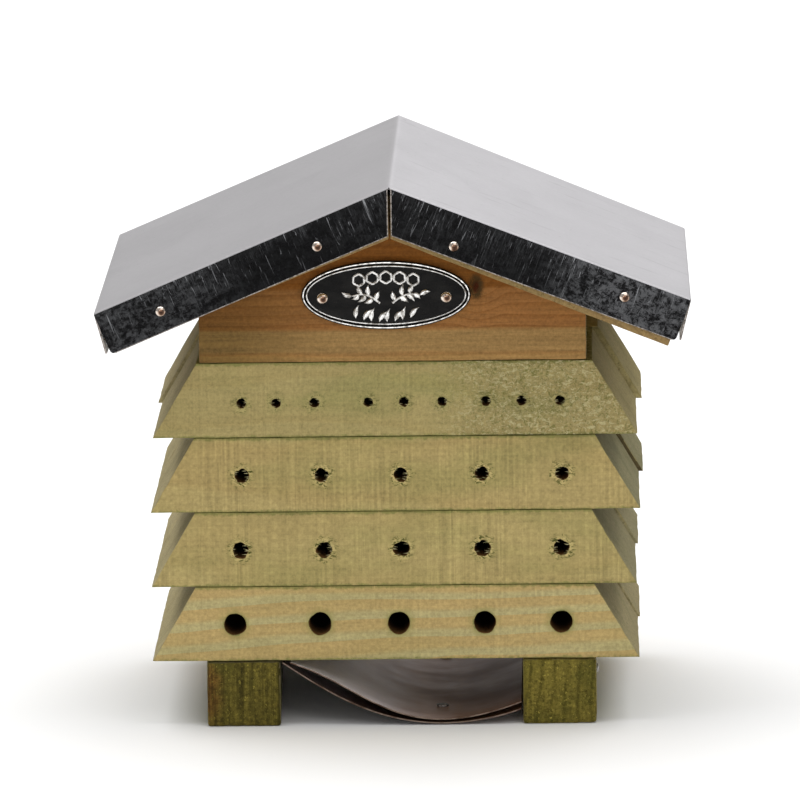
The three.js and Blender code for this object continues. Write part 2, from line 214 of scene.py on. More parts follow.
    def finish(self, pattern, smooth, rough, metal=0.0, specular=0.5, top=0.7):
        """The material, whose roughness runs from smooth to rough as the pattern does from 0.3 to top."""
        self.put(self.shader.inputs["Base Color"], self.color)
        self.put(self.shader.inputs["Roughness"], self.soft(pattern, 0.3, top, smooth, rough))
        self.put(self.shader.inputs["Metallic"], metal)
        self.put(self.shader.inputs["Specular IOR Level"], specular)
        normal = None
        for height, depth in self.heights:
            node = self.add("ShaderNodeBump", {"Height": height, "Distance": depth * MM, "Strength": 1.0})
            if normal is not None:
                self.put(node.inputs["Normal"], normal)
            normal = node.outputs[0]
        if normal is not None:
            self.put(self.shader.inputs["Normal"], normal)
        return self.material


GRAIN = {"x": 0, "y": 1, "z": 2}


def grain_scale(axis, along, across):
    scale = [across] * 3
    scale[GRAIN[axis]] = along
    return tuple(scale)


def ring_radius(look, grain, pith, tilt, seed, knot):
    """Distance from the pith line, warped along the grain and bent round the knot."""
    flat = [1, 1, 1]
    flat[GRAIN[grain]] = 0
    warp = look.noise(grain_scale(grain, 0.008, 0.03), seed, 2.0, 0.5)
    section = look.vector("MULTIPLY", look.place, tuple(flat))
    centre = tuple(p * f for p, f in zip(pith, flat))
    radius = look.distance(section, centre)
    radius = look.times_plus(warp, 9.0, radius)
    radius = look.times_plus(look.axis("X"), tilt, radius)
    if knot:
        radius = look.times_plus(look.soft(knot_distance(look, knot), 1.0, 11.0, 1.0, 0.0), 3.6, radius)
    return radius


def knot_distance(look, knot):
    spread = look.vector("MULTIPLY_ADD", look.place, (1, 0, 0.6), (-knot[0], 0, -0.6 * knot[1]))
    return look.distance(spread, (0, 0, 0))


def stain_and_shade_timber(look, cloud, seed, zones, sides, shade, edges):
    """Bands in Z (the gable's top one a painted shadow), colours multiplied in that fade along X (painted
    shade on the right bevels), painted shade that grows upwards in Z and preservative on the board's foot
    and top.
    """
    for low, high, zone_color, share in zones:
        edge = look.times_plus(look.noise((0.015, 0.02, 0.3), seed + 31, 3.0), 2.6, look.axis("Z"))
        band = look.times(look.soft(edge, low, low + 1.8), look.soft(edge, high, high + 1.8, share, 0.0))
        look.paint(band, zone_color)
    for low, high, stain_and_shade in sides:
        band = look.soft(look.times_plus(cloud, 18.0, look.axis("X")), low, high, 1.0, 0.0)
        look.paint(band, stain_and_shade, "MULTIPLY")
    # painted shade: each entry darkens the colour towards the top in Z
    for low, high, stain_and_shade in shade:
        look.paint(look.soft(look.axis("Z"), low, high), stain_and_shade, "MULTIPLY")
    if edges:
        foot, top = edges
        ragged = look.noise((0.5, 0.3, 0.5), seed + 33, 3.0, 0.7)
        rough_z = look.times_plus(ragged, 2.6, look.axis("Z"))
        under = look.soft(rough_z, foot + 1.3, foot + 2.3, 0.75, 0.0)
        over = look.soft(rough_z, top + 0.3, top + 1.3, 0.0, 0.75)
        look.paint(look.math("MAXIMUM", under, over), (0.17, 0.175, 0.05))


def saw_timber(look, seed, saw):
    marks = look.noise((1.0, 0.03, 0.03), seed + 17, 2.0, 0.6)
    groups = look.noise((0.16, 0.02, 0.015), seed + 19, 1.0)
    strength = look.soft(groups, 0.35, 0.7, 0.35, 1.0)
    centred = look.math("SUBTRACT", look.soft(marks, 0.3, 0.7), 0.5)
    marked = look.times_plus(centred, strength, 0.5)
    look.shade((marked, saw))
    look.raised(marked, 0.08)


def fuzz_timber(look, seed, start):
    """Green strokes and pale wool on the face to the right of start."""
    side = look.soft(look.axis("X"), start, start + 34)
    dots = look.noise((0.8, 0.9, 0.62), seed + 23, 5.0, 0.78, 0.9)
    strokes = look.soft(dots, 0.52, 0.59, 0.0, 0.75)
    look.paint(look.times(strokes, side), (0.15, 0.148, 0.04))
    down = look.noise((0.55, 0.8, 0.95), seed + 29, 5.0, 0.78, 0.9)
    wool = look.times(look.soft(down, 0.5, 0.62, 0.0, 0.75), side)
    look.paint(wool, (0.54, 0.48, 0.26))
    look.raised(look.times(dots, side), 0.6)


def knot_timber(look, seed, knot):
    crumb = look.noise((0.8, 0.9, 0.55), seed + 37, 4.0, 0.75)
    swirl = look.times_plus(crumb, 3.0, knot_distance(look, knot))
    broken = look.soft(crumb, 0.36, 0.5, 0.35, 1.0)
    halo = look.times(look.soft(swirl, 3.2, 4.6, 0.95, 0.0), broken)
    look.paint(halo, (0.05, 0.03, 0.01))
    look.paint(look.soft(swirl, 2.0, 3.0, 0.97, 0.0), (0.05, 0.012, 0.003))
    look.raised(look.soft(swirl, 1.0, 4.0, 1.0, 0.0), 0.2)


def nest_timber(look, seed, speckle, nests, pale, tint):
    """Stained, dusty and torn wood round the drilled holes."""
    points, hole, torn = nests
    away = look.nearest(points)
    ragged = look.times_plus(look.noise((0.4, 0.3, 0.5), seed + 41, 3.0, 0.7), 4.4, away)
    look.paint(look.soft(ragged, hole + 1.6, hole + 5.0, 0.6, 0.0), tint)
    mouth = look.soft(away, hole, hole + 0.7, 1.0, 0.0)
    look.paint(look.times(mouth, look.soft(speckle, 0.4, 0.6)), (0.15, 0.15, 0.05))
    if not torn:
        return
    chips = look.noise((0.75, 0.5, 0.95), seed + 45, 3.0, 0.75, 0.6)
    rim = look.soft(ragged, hole + 2.6, hole + 3.9, 1.0, 0.0)
    rim = look.times(look.times(rim, look.soft(chips, 0.4, 0.5)), min(1, torn * 1.5))
    look.paint(rim, tuple(min(1, c * 1.42) for c in pale))
    splits = look.noise((0.6, 0.6, 1.15), seed + 43, 3.0, 0.75, 0.8)
    near = look.soft(ragged, hole + 2.8, hole + 5.4, min(1, torn * 1.7), 0.0)
    crack = look.times(look.soft(splits, 0.53, 0.59), near)
    look.paint(crack, (0.06, 0.066, 0.014))
    look.raised(look.times(splits, look.soft(away, hole, hole + 2.4, 1.0, 0.0)), 0.5)


def timber(
    name, pale, dark, tint, grain="x", pith=(0, 100, 0), ring=3.2, ring_share=0.4, tilt=0.0, saw=0.0,
    seed=0.0, nests=None, end=False, patches=0.35, fuzz=None, knot=None, zones=(), sides=(), edges=None,
    shade=(), grit=0.95, streak=0.5, specks=0.0,
    late_stops=((0.0, 0.1), (0.55, 0.35), (0.86, 1.0), (0.97, 0.05)),
):
    """Timber with growth rings round a pith line along the grain, fibre streaks and saw marks.

    pale and dark are the early and late wood, tint the preservative's green in patches. pith is a point
    on the pith line. nests is (points, hole radius, torn share). fuzz is the X from which the face is
    fuzzy. zones are (low, high, colour, share) bands in Z, sides are (full, none, colour) multiplied in
    along X, which on the right bevels is painted shade, and shade is (low, high, colour) painted shade
    multiplied in upwards in Z. edges are the board's foot and top. grit is the share of the fine
    speckle and streak of the fibre."""
    look = Look(name)
    phase = look.math("FRACT", look.math("DIVIDE", ring_radius(look, grain, pith, tilt, seed, knot), ring))
    late = look.ramp(phase, *((place, (level,) * 3) for place, level in late_stops))
    fibre = look.noise(grain_scale(grain, 0.035, 0.9), seed + 3, 5.0, 0.75)
    speckle = look.noise(0.85, seed + 5, 3.0, 0.75)
    cloud = look.noise(grain_scale(grain, 0.025, 0.06), seed + 7, 2.0)
    look.color = look.blend(look.times(late, ring_share), pale, dark)
    patch = look.noise(grain_scale(grain, 0.02, 0.07), seed + 9, 3.0)
    look.paint(look.soft(patch, 0.42, 0.68, 0.0, patches), tint)
    stain_and_shade_timber(look, cloud, seed, zones, sides, shade, edges)
    look.shade((fibre, streak), (speckle, grit), (cloud, 0.16))
    look.raised(look.times_plus(late, 0.5, fibre), 0.16 if end else 0.10)
    look.raised(speckle, 0.05)
    if end:
        pores = look.noise(0.9, seed + 13, 4.0, 0.78)
        look.paint(look.soft(pores, 0.52, 0.68, 0.0, 0.6), tuple(c * 0.45 for c in dark))
        look.raised(pores, 0.14)
    if specks:
        glint = look.noise((1.3, 1.3, 1.0), seed + 15, 3.0, 0.75)
        look.paint(look.soft(glint, 0.58, 0.72, 0.0, specks), tuple(min(1, c * 2.2) for c in pale))
    if saw:
        saw_timber(look, seed, saw)
    if fuzz is not None:
        fuzz_timber(look, seed, fuzz)
    if knot:
        knot_timber(look, seed, knot)
    if nests:
        nest_timber(look, seed, speckle, nests, pale, tint)
    return look.finish(fibre, 0.78, 0.92, specular=0.1)


def plain_look(name, scale, shift, detail, rough, span, colors):
    """A look whose colour runs between two colours by one noise, which is returned too."""
    look = Look(name)
    pattern = look.noise(scale, shift, detail, rough)
    look.color = look.blend(look.soft(pattern, *span), *colors)
    return look, pattern


def nest_wall():
    look = Look("drilled_wood")
    rings = look.noise((0.6, 2.4, 0.6), 3, 3.0, 0.7)
    look.color = look.blend(look.soft(rings, 0.35, 0.7), (0.17, 0.08, 0.025), (0.06, 0.03, 0.01))
    # painted shade: the bore's wall darkens further in from the front
    look.paint(look.soft(look.axis("Y"), FRONT + 2, FRONT + 16), (0.02, 0.011, 0.004))
    look.raised(rings, 0.25)
    return look.finish(rings, 0.8, 0.95, specular=0.1)


def torn_fibre():
    colors = ((0.42, 0.37, 0.2), (0.13, 0.13, 0.05))
    look, mottle = plain_look("torn_fibre", 1.1, 5, 2.0, 0.55, (0.4, 0.65), colors)
    look.raised(mottle, 0.05)
    return look.finish(mottle, 0.8, 0.95, specular=0.15)


def roof_metal():
    """Pale zinc: large faint spangle, rolling streaks down the slope and small specks; the right slope is
    painted lighter than the left as painted light.
    """
    look = Look("zinc_top")
    down = look.down_slope()
    spangle = look.axis("X", look.cells((0.085, 0.06, 0.085), 2))
    streak = look.noise((0.02, 0.16, 0.02), 7, 4.0, 0.6, place=down)
    cloud = look.noise((0.03, 0.022, 0.03), 11, 4.0, 0.65, 0.5, place=down)
    grain = look.noise(0.7, 13, 4.0, 0.75)
    speck = look.noise(0.6, 15, 2.0, 0.5)
    smudge = look.noise((0.05, 0.2, 0.05), 17, 3.0, 0.6, place=down)
    # painted light: the right slope gets a lighter grey than the left
    side = look.soft(look.axis("X"), AXIS_X - 0.6, AXIS_X + 0.6)
    look.color = look.blend(side, (0.324, 0.316, 0.324), (0.466, 0.456, 0.471))
    look.shade((streak, 0.04), (cloud, 0.10), (grain, 0.2), (spangle, 0.02))
    look.paint(look.soft(smudge, 0.58, 0.76, 0.0, 0.35), (0.29, 0.285, 0.29))
    look.paint(look.soft(speck, 0.72, 0.78, 0.0, 0.4), (0.15, 0.15, 0.155))
    look.raised(cloud, 0.02)
    look.raised(grain, 0.006)
    return look.finish(cloud, 0.52, 0.6, 0.2, specular=0.3, top=0.75)


def flap_metal():
    """Zinc whose base colour is painted near black as a painted reflection of the dark surroundings,
    mirror-like, with dull clouds far from the ridge and scratches that start at the fold.
    """
    look = Look("zinc_flap")
    down = look.down_slope()
    hung = look.axis("Z", down)
    mottle = look.noise((0.34, 0.34, 0.4), 21, 8.0, 0.86, 0.25, place=down)
    patch = look.noise((0.05, 0.05, 0.06), 23, 3.0, 0.6, place=down)
    hair = look.noise((2.1, 1.0, 0.14), 25, 4.0, 0.75, 1.4, place=down)
    scratch = look.noise((1.1, 1.0, 0.07), 27, 3.0, 0.6, 1.6, place=down)
    dust = look.noise(1.3, 29, 4.0, 0.8)
    rubbed = look.soft(patch, 0.40, 0.62)
    from_fold = look.soft(hung, 1.5, 12.5, 1.0, 0.12)
    right = look.soft(look.axis("X"), AXIS_X - 40, AXIS_X + 40, 0.5, 1.2)
    far = look.times(look.soft(look.axis("X", down), 50, 82), right)
    # painted reflection: near-black base colour standing in for the dark surroundings the flap mirrors
    look.color = look.blend(look.soft(mottle, 0.42, 0.66), (0.0012, 0.0012, 0.0013), (0.0055, 0.0056, 0.006))
    dull = look.times(look.soft(mottle, 0.44, 0.6), look.times_plus(rubbed, 0.07, far))
    look.paint(dull, (0.07, 0.071, 0.074))
    combed = look.times(look.soft(hair, 0.5, 0.66, 0.0, 0.42), look.times(rubbed, from_fold))
    look.paint(combed, (0.11, 0.112, 0.118))
    cut = look.times(look.soft(scratch, 0.63, 0.68), look.times_plus(from_fold, 0.5, 0.15))
    look.paint(cut, (0.24, 0.245, 0.255))
    look.paint(look.soft(dust, 0.54, 0.70, 0.0, 0.12), (0.065, 0.066, 0.07))
    look.raised(mottle, 0.02)
    look.raised(hair, 0.01)
    return look.finish(mottle, 0.2, 0.4, 0.9)


def edge_metal():
    colors = ((0.3, 0.27, 0.25), (0.1, 0.085, 0.07))
    look, burr = plain_look("sheared_edge", 1.4, 31, 3.0, 0.6, (0.35, 0.7), colors)
    look.raised(burr, 0.04)
    return look.finish(burr, 0.35, 0.6, 0.8)


def belly_metal(name, *stops):
    """Thin sheet whose tone changes along X through these stops, with smudges and painted shade that darkens
    it towards its foot.
    """
    look = Look(name)
    cloud = look.noise((0.04, 0.05, 0.05), 33, 3.0, 0.6)
    mottle = look.noise(0.22, 35, 4.0, 0.65)
    place = look.times_plus(cloud, 18.0, look.axis("X"))
    look.color = look.ramp(look.soft(place, AXIS_X - 30, AXIS_X + 52), *stops)
    # painted shade: the sheet is darkened towards its foot
    look.paint(look.soft(look.axis("Z"), 12, 1, 0.0, 0.6), (0.5, 0.46, 0.44), "MULTIPLY")
    look.shade((mottle, 0.22), (cloud, 0.2))
    look.raised(mottle, 0.02)
    return look.finish(cloud, 0.3, 0.42, 0.4, specular=0.12)


def belly_edge_metal():
    """The raw rim of the thin sheet, beige with rust in places."""
    colors = ((0.2, 0.145, 0.11), (0.07, 0.035, 0.018))
    look, rust = plain_look("belly_edge", 0.35, 37, 4.0, 0.65, (0.38, 0.62), colors)
    look.raised(rust, 0.05)
    return look.finish(rust, 0.4, 0.65, 0.4)


def rim_metal():
    colors = ((0.86, 0.85, 0.83), (0.24, 0.225, 0.2))
    look, tarnish = plain_look("badge_nickel", 0.6, 41, 4.0, 0.7, (0.42, 0.66), colors)
    look.raised(look.noise((0.3, 4.0, 3.0), 43, 2.0), 0.008)
    look.raised(tarnish, 0.02)
    return look.finish(tarnish, 0.26, 0.46, 1.0, top=0.75)


def field_metal():
    look = Look("badge_field")
    grain = look.noise(2.2, 45, 3.0, 0.6)
    cloud = look.noise((0.14, 0.14, 0.3), 47, 3.0)
    look.color = look.blend(look.soft(cloud, 0.35, 0.7), (0.0018, 0.0017, 0.0016), (0.008, 0.0074, 0.0068))
    look.paint(look.soft(grain, 0.62, 0.76, 0.0, 0.35), (0.06, 0.058, 0.055))
    look.raised(grain, 0.04)
    return look.finish(grain, 0.25, 0.45, 0.25, specular=0.12)


def copper_metal(heads):
    """Coppered domes painted with their reflection: a bright painted highlight round the rim, dark brown
    painted shade on the crown.
    """
    look = Look("copper")
    blotch = look.noise(0.9, 51, 3.0, 0.6)
    away = look.times_plus(blotch, 0.5, look.nearest(heads))
    # painted reflection: dark brown on the crown, bright copper round the rim as a painted highlight
    look.color = look.ramp(
        look.soft(away, 0.35, 1.9),
        (0.0, (0.045, 0.025, 0.018)), (0.4, (0.12, 0.065, 0.04)), (0.6, (0.45, 0.31, 0.23)),
        (1.0, (0.86, 0.76, 0.67)),
    )
    look.raised(blotch, 0.02)
    return look.finish(blotch, 0.1, 0.22, 1.0)


def steel_metal():
    colors = ((0.42, 0.41, 0.39), (0.2, 0.19, 0.17))
    look, blotch = plain_look("fastener_steel", 1.2, 55, 3.0, 0.6, (0.4, 0.7), colors)
    look.raised(look.noise((0.4, 0.4, 3.5), 57, 2.0), 0.03)
    return look.finish(blotch, 0.3, 0.5, 1.0)


# ---- mesh tools, all in millimetres until a piece is made ----
def prism(points, y_low, y_high):
    """A closed prism whose outline lies in X-Z."""
    bm = bmesh.new()
    low = [bm.verts.new((x, y_low, z)) for x, z in points]
    high = [bm.verts.new((x, y_high, z)) for x, z in points]
    bm.faces.new(low)
    bm.faces.new(high)
    for i in range(len(points)):
        j = (i + 1) % len(points)
        bm.faces.new((low[i], high[i], high[j], low[j]))
    bmesh.ops.recalc_face_normals(bm, faces=bm.faces)
    return bm


def refine(bm, steps):
    """Cuts every face on a grid so that wear has vertices to move."""
    for axis, step in enumerate(steps):
        places = [v.co[axis] for v in bm.verts]
        low, high = min(places), max(places)
        count = max(1, round((high - low) / step))
        normal = Vector((0, 0, 0))
        normal[axis] = 1
        for i in range(1, count):
            spot = Vector((0, 0, 0))
            spot[axis] = low + (high - low) * i / count
            geometry = bm.verts[:] + bm.edges[:] + bm.faces[:]
            bmesh.ops.bisect_plane(bm, geom=geometry, plane_co=spot, plane_no=normal)


def weather(bm, grain, hollow, nicks, seed):
    """Lets the faces sink a little along the grain, and the edges a little more in places."""
    bm.normal_update()
    shift = Vector((7.3, 3.1, 5.7)) * seed
    scale = Vector(grain_scale(grain, 0.02, 0.12))
    moved = []
    for v in bm.verts:
        spread = max(v.normal.angle(f.normal, 0) for f in v.link_faces)
        place = Vector(a * b for a, b in zip(v.co, scale))
        sink = 0.5 + 0.5 * noise.noise(place + shift)
        nick = max(0, noise.noise(v.co * 0.11 + shift * 2)) + 0.5 * max(0, noise.noise(v.co * 0.6 + shift))
        moved.append(v.co - v.normal * (hollow * sink + min(1, spread / 0.35) * nicks * nick))
    for v, place in zip(bm.verts, moved):
        v.co = place


def lathe(profile, sides=32):
    """A closed solid round Z from (radius, height) pairs that start and end on the axis."""
    bm = bmesh.new()
    rings = []
    for r, h in profile:
        if r < 1e-6:
            rings.append([bm.verts.new((0, 0, h))])
        else:
            angles = [2 * pi * i / sides for i in range(sides)]
            rings.append([bm.verts.new((r * cos(a), r * sin(a), h)) for a in angles])
    for a, b in zip(rings, rings[1:]):
        for i in range(sides):
            j = (i + 1) % sides
            quad = [a[i % len(a)], a[j % len(a)], b[j % len(b)], b[i % len(b)]]
            corners = list(dict.fromkeys(quad))
            if len(corners) > 2:
                bm.faces.new(corners)
    bmesh.ops.recalc_face_normals(bm, faces=bm.faces)
    return bm


def spindle(bm, start, end, thick, index):
    """One torn fibre: a closed sliver, thickest near its root."""
    start, end = Vector(start), Vector(end)
    along = (end - start).normalized()
    side = along.orthogonal().normalized()
    other = along.cross(side)
    root = start.lerp(end, 0.3)
    turns = [pi / 2 * i for i in range(4)]
    ring = [bm.verts.new(root + (side * cos(a) + other * sin(a)) * thick) for a in turns]
    tips = [bm.verts.new(start), bm.verts.new(end)]
    for i in range(4):
        bm.faces.new((tips[0], ring[(i + 1) % 4], ring[i])).material_index = index
        bm.faces.new((tips[1], ring[i], ring[(i + 1) % 4])).material_index = index


def linked(name, data):
    item = bpy.data.objects.new(name, data)
    bpy.context.scene.collection.objects.link(item)
    return item


def make(name, bm, looks, slot, *nodes, sharp=35, solid=0.0):
    """Turns a mesh in millimetres into a piece that rides on the frame and stands for these CAD nodes."""
    bmesh.ops.transform(bm, matrix=Matrix.Scale(MM, 4), verts=bm.verts)
    mesh = bpy.data.meshes.new(name)
    bm.to_mesh(mesh)
    bm.free()
    for look in looks:
        mesh.materials.append(look)
    piece = linked(name, mesh)
    if solid:
        modifier = piece.modifiers.new("thickness", "SOLIDIFY")
        modifier.thickness = solid * MM
        modifier.offset = -1
        modifier.use_even_offset = True
        modifier.material_offset_rim = len(looks) - 1
        apply_modifiers(piece)
    smooth(piece.data, sharp)
    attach(piece, "root")
    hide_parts(*nodes)
    return piece


def smooth(mesh, sharp):
    mesh.polygons.foreach_set("use_smooth", [True] * len(mesh.polygons))
    mesh.set_sharp_from_angle(angle=radians(sharp))


def apply_modifiers(piece):
    graph = bpy.context.evaluated_depsgraph_get()
    made = bpy.data.meshes.new_from_object(piece.evaluated_get(graph))
    old = piece.data
    piece.modifiers.clear()
    piece.data = made
    bpy.data.meshes.remove(old)


def carve(bm, cutter):
    """bm without cutter; the cut faces keep the cutter's material numbers."""
    pair = []
    for source in (bm, cutter):
        mesh = bpy.data.meshes.new("carving")
        source.to_mesh(mesh)
        source.free()
        for _ in range(4):
            mesh.materials.append(None)
        item = bpy.data.objects.new("carving", mesh)
        bpy.context.scene.collection.objects.link(item)
        pair.append(item)
    block, tool = pair
    modifier = block.modifiers.new("bore", "BOOLEAN")
    modifier.operation = "DIFFERENCE"
    modifier.solver = "EXACT"
    modifier.object = tool
    apply_modifiers(block)
    result = bmesh.new()
    result.from_mesh(block.data)
    for item in pair:
        mesh = item.data
        bpy.data.objects.remove(item)
        bpy.data.meshes.remove(mesh)
    return result


def bore(bm, centre, direction, stations, index, ragged=0.03, seed=0.0, sides=28):
    """Adds a closed drill-shaped cutter: stations are (distance, radius, raggedness share)."""
    turn = Vector((0, 0, 1)).rotation_difference(Vector(direction))
    rings = []
    for distance, radius, share in stations:
        ring = []
        for i in range(sides):
            a = 2 * pi * i / sides
            wobble = noise.noise(Vector((cos(a) * 1.6, sin(a) * 1.6, distance * 0.3 + seed)))
            r = radius * (1 + ragged * share * wobble)
            ring.append(bm.verts.new(Vector(centre) + turn @ Vector((r * cos(a), r * sin(a), distance))))
        rings.append(ring)
    faces = [bm.faces.new(rings[0]), bm.faces.new(rings[-1])]
    for a, b in zip(rings, rings[1:]):
        for i in range(sides):
            j = (i + 1) % sides
            faces.append(bm.faces.new((a[i], a[j], b[j], b[i])))
    for face in faces:
        face.material_index = index
    bmesh.ops.recalc_face_normals(bm, faces=faces)


def board_faces(bm, grain, limit=0.5):
    """Material 1 on the faces across the grain, 0 elsewhere; drilled walls keep theirs."""
    bm.normal_update()
    for face in bm.faces:
        if face.material_index == 0 and abs(face.normal[GRAIN[grain]]) > limit:
            face.material_index = 1


def sawn_board(points, low, high, grain, steps, seed, hollow=0.12, nicks=0.5, round_over=0.45):
    """A board with this outline in X-Z and the depth in Y from low to high."""
    bm = prism(points, low.y, high.y)
    bmesh.ops.bevel(bm, geom=bm.edges[:], offset=round_over, segments=2, profile=0.6, affect="EDGES")
    refine(bm, steps)
    weather(bm, grain, hollow, nicks, seed)
    return bm


# ---- the layers ----
drilled, fibres = nest_wall(), torn_fibre()
SOFT_RINGS = ((0.0, 0.0), (0.35, 0.2), (0.6, 1.0), (0.8, 0.2))
# painted shade: multipliers that darken the right-hand end faces of layers 1 to 4
RIGHT_BEVEL_SHADE = ((0.8, 0.8, 0.78), (0.7, 0.73, 0.74), (0.68, 0.73, 0.74), (0.95, 0.94, 0.82))
OPEN_JOINT = 3                                 # the layer where the rear board's front step is painted dark as painted shadow in the gap between its two boards
BANDS = ((0.0, 0.0), (0.3, 0.15), (0.5, 0.95), (0.86, 1.0))
LAYER_TONES = (
    dict(pale=(0.415, 0.358, 0.172), dark=(0.44, 0.298, 0.112), tint=(0.25, 0.23, 0.075), late_stops=BANDS,
         ring=5.2, ring_share=0.75, tilt=-0.035, pith=(0, -30, -8), saw=0.12, patches=0.15),
    dict(pale=(0.392, 0.31, 0.128), dark=(0.32, 0.228, 0.082), tint=(0.255, 0.235, 0.08),
         ring=3.4, ring_share=0.3, tilt=-0.012, pith=(0, 60, 60), saw=0.32, patches=0.4),
    dict(pale=(0.388, 0.303, 0.125), dark=(0.33, 0.224, 0.083), tint=(0.25, 0.235, 0.08),
         ring=3.0, ring_share=0.35, tilt=0.01, pith=(0, 60, 75), saw=0.3, patches=0.4),
    dict(pale=(0.345, 0.28, 0.118), dark=(0.30, 0.22, 0.08), tint=(0.225, 0.22, 0.075),
         ring=3.1, ring_share=0.3, tilt=-0.008, pith=(0, 80, 140), saw=0.16, patches=0.45, fuzz=AXIS_X + 4),
)


def layer_board(low, high, seed, seat=0.0):
    top = high.z + SEAT
    points = [(low.x, low.z), (high.x, low.z), (high.x - LAYER_BEVEL, top), (low.x + LAYER_BEVEL, top)]
    foot = low - Vector((0, seat, 0))
    return sawn_board(points, foot, high, "x", (4, 6, 3.5), seed, nicks=0.6, round_over=0.3)


def make_layers():
    # painted shadow: a dark look for the rear board's front step that shows between layer 3's two boards
    joint_shadow = timber(
        "pine_joint", pale=(0.11, 0.085, 0.04), dark=(0.05, 0.038, 0.018), tint=(0.06, 0.055, 0.02), seed=9,
    )
    for number, (nest, tones) in enumerate(zip(NESTS, LAYER_TONES), start=1):
        front_low, front_high = box_mm(f"layer_{number}_front_board")
        rear_low, rear_high = box_mm(f"layer_{number}_rear_board")
        holes = [(AXIS_X + x, front_low.z + nest["height"]) for x in nest["at"]]
        torn = nest["torn"]
        seed = number * 11.0
        pith_y, pith_z = tones["pith"][1:]
        plain = {key: value for key, value in tones.items() if key != "fuzz"}
        nests = (holes, nest["radius"], torn)
        edges = (front_low.z, front_high.z)
        face = timber(f"pine_layer_{number}", seed=seed, nests=nests, edges=edges, **tones)
        back = timber(f"pine_layer_{number}_rear", seed=seed + 4, **plain)
        ends = timber(
            f"pine_layer_{number}_ends", pale=(0.44, 0.37, 0.195), dark=(0.24, 0.2, 0.105),
            tint=(0.26, 0.235, 0.11), pith=(0, pith_y + 150, pith_z), ring=2.6, ring_share=0.7,
            seed=seed + 6, end=True, patches=0.4, late_stops=SOFT_RINGS,
            # painted shade: each end face darker towards its top, under the layer above, and the right-hand
            # ends darker still
            shade=[(front_high.z - 17, front_high.z - 1, (0.6, 0.59, 0.56))],
            sides=[(AXIS_X + 5, AXIS_X - 5, RIGHT_BEVEL_SHADE[number - 1])],
        )
        board = layer_board(front_low, front_high, seed)
        cutter = bmesh.new()
        radius, depth = nest["radius"], nest["depth"]
        for k, (x, z) in enumerate(holes):
            mouth = radius * (1.03 + 0.05 * torn)
            stations = [(-1, mouth, 1), (0.15, mouth, 1), (0.9, radius, 0.6), (3, radius, 0.3)]
            stations += [(depth * share, radius, 0.3) for share in (0.25, 0.5, 0.75)]
            stations += [(depth - radius * 0.5, radius, 0.3), (depth, radius * 0.1, 0.3)]
            raggedness = 0.10 + 0.22 * torn
            bore(cutter, (x, front_low.y, z), (0, 1, 0), stations, 2, raggedness, seed + k * 3.7)
        board = carve(board, cutter)
        board_faces(board, "x")
        add_fibres(board, holes, radius, torn, front_low.y, number)
        looks = [face, ends, drilled, fibres]
        make(f"nest_board_{number}", board, looks, "layer_wood", f"layer_{number}_front_board")
        rear = layer_board(rear_low, rear_high, seed + 5, SEAT)
        board_faces(rear, "x")
        for f in rear.faces:
            if f.normal.y < -0.9:
                # painted shadow on layer 3; the other layers show the ends look here
                f.material_index = 2 if number == OPEN_JOINT else 1
        make(f"back_board_{number}", rear, [back, ends, joint_shadow], "layer_wood", f"layer_{number}_rear_board")


def add_fibres(bm, holes, radius, torn, y, number):
    """Torn fibres that lean into the mouths of the holes, and lint on the top layer's fuzzy side."""
    draw = random.Random(number)
    for x, z in holes:
        for _ in range(int(RIM_FIBRES * torn)):
            side = draw.choice((-1, 1))
            rise = draw.uniform(-0.85, 0.85) * radius
            rim = side * sqrt(max(0, radius * radius - rise * rise))
            reach = draw.uniform(0.25, 0.75) * radius
            start = (x + rim + side * 0.5, y + draw.uniform(0.05, 0.5), z + rise)
            end = (x + rim - side * reach, y + draw.uniform(-0.15, 0.7), z + rise + draw.uniform(-0.5, 0.5))
            spindle(bm, start, end, draw.uniform(0.09, 0.2), 3)
    if number == len(NESTS):
        low, high = box_mm(f"layer_{number}_front_board")
        for _ in range(LINT):
            x = AXIS_X + 24 + 46 * draw.random() ** 0.8
            z = draw.uniform(low.z + 1.5, high.z - 1)
            limit = high.x - 3 - LAYER_BEVEL * (z - low.z) / (high.z - low.z)
            if x > limit or min(abs(x - hx) + abs(z - hz) for hx, hz in holes) < 2.5:
                continue
            turn = draw.uniform(-0.9, 0.9)
            length = draw.uniform(0.5, 1.5)
            end = (x + length * cos(turn), y - draw.uniform(0.1, 0.35), z + length * sin(turn))
            spindle(bm, (x, y + 0.12, z), end, draw.uniform(0.05, 0.09), 3)


